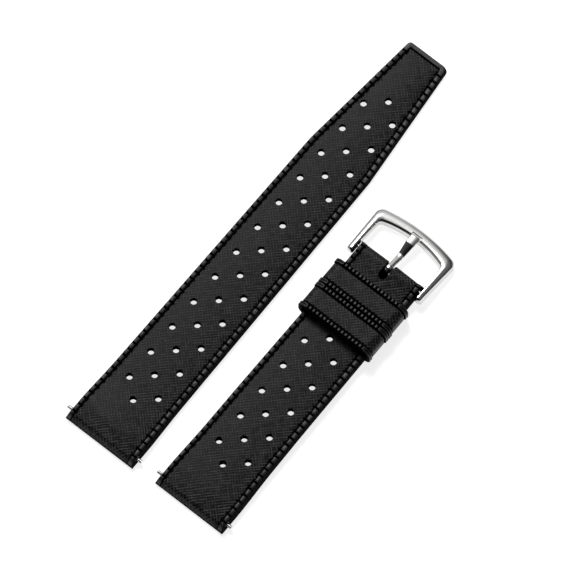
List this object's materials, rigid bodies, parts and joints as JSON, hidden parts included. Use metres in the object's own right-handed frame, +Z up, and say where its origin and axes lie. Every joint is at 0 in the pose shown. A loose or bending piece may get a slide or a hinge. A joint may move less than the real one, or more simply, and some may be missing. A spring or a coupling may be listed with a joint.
{
  "type": "watch strap",
  "caption": "Two-piece perforated black rubber dive watch strap with notched edge beads, a steel tang buckle and two rubber keepers.",
  "frame": {"origin": "on the table at the centre of the footprint of the two halves as they lie side by side", "axes": "+X across the halves from the tail half to the short half, +Y along them from the lug ends to the tip and the buckle, +Z up out of the outer face"},
  "size_m": [0.0475, 0.1198, 0.0066],
  "materials": {
    "rubber": "matte",
    "polished_steel": "polished",
    "bar_steel": "satin",
    "spring_steel": "satin"
  },
  "bodies": {
    "straps": {"tail_strap": "rubber", "buckle_strap": "rubber", "tail_bar_tube": "bar_steel", "short_bar_tube": "bar_steel", "buckle_bar_tube": "bar_steel", "tail_bar_spring": "spring_steel", "short_bar_spring": "spring_steel", "buckle_bar_spring": "spring_steel"},
    "keeper_near": {"keeper_buckle_side": "rubber"},
    "keeper_far": {"keeper_lug_side": "rubber"},
    "frame": {"buckle_frame": "polished_steel"},
    "tongue": {"buckle_tongue": "polished_steel"},
    "tail_bar_left": {"tail_bar_tip_left": "bar_steel"},
    "tail_bar_right": {"tail_bar_tip_right": "bar_steel"},
    "short_bar_left": {"short_bar_tip_left": "bar_steel"},
    "short_bar_right": {"short_bar_tip_right": "bar_steel"},
    "buckle_bar_left": {"buckle_bar_tip_left": "bar_steel"},
    "buckle_bar_right": {"buckle_bar_tip_right": "bar_steel"}
  },
  "joints": [
    {"name": "keeper_buckle_side_slide", "type": "slide", "parent": "straps", "child": "keeper_near", "axis": [0, 1, 0], "range_m": [0, 0.002]},
    {"name": "keeper_lug_side_slide", "type": "slide", "parent": "straps", "child": "keeper_far", "axis": [0, -1, 0], "range_m": [0, 0.02]},
    {"name": "frame_hinge", "type": "hinge", "parent": "straps", "child": "frame", "pos_m": [0.01252, 0.01311, 0.00255], "axis": [1, 0, 0], "range_deg": [-110, 40]},
    {"name": "tongue_hinge", "type": "hinge", "parent": "frame", "child": "tongue", "pos_m": [0.01252, 0.01311, 0.00255], "axis": [1, 0, 0], "range_deg": [0, 75]},
    {"name": "tail_bar_left_press", "type": "slide", "parent": "straps", "child": "tail_bar_left", "axis": [1, 0, 0], "range_m": [0, 0.001], "stiffness_N_per_m": 1000, "springref_m": -0.0015, "deforming": ["tail_bar_spring"]},
    {"name": "tail_bar_right_press", "type": "slide", "parent": "straps", "child": "tail_bar_right", "axis": [-1, 0, 0], "range_m": [0, 0.001], "stiffness_N_per_m": 1000, "springref_m": -0.0015},
    {"name": "short_bar_left_press", "type": "slide", "parent": "straps", "child": "short_bar_left", "axis": [1, 0, 0], "range_m": [0, 0.001], "stiffness_N_per_m": 1000, "springref_m": -0.0015, "deforming": ["short_bar_spring"]},
    {"name": "short_bar_right_press", "type": "slide", "parent": "straps", "child": "short_bar_right", "axis": [-1, 0, 0], "range_m": [0, 0.001], "stiffness_N_per_m": 1000, "springref_m": -0.0015},
    {"name": "buckle_bar_left_press", "type": "slide", "parent": "straps", "child": "buckle_bar_left", "axis": [1, 0, 0], "range_m": [0, 0.001], "stiffness_N_per_m": 1000, "springref_m": -0.0015, "deforming": ["buckle_bar_spring"]},
    {"name": "buckle_bar_right_press", "type": "slide", "parent": "straps", "child": "buckle_bar_right", "axis": [-1, 0, 0], "range_m": [0, 0.001], "stiffness_N_per_m": 1000, "springref_m": -0.0015}
  ]
}
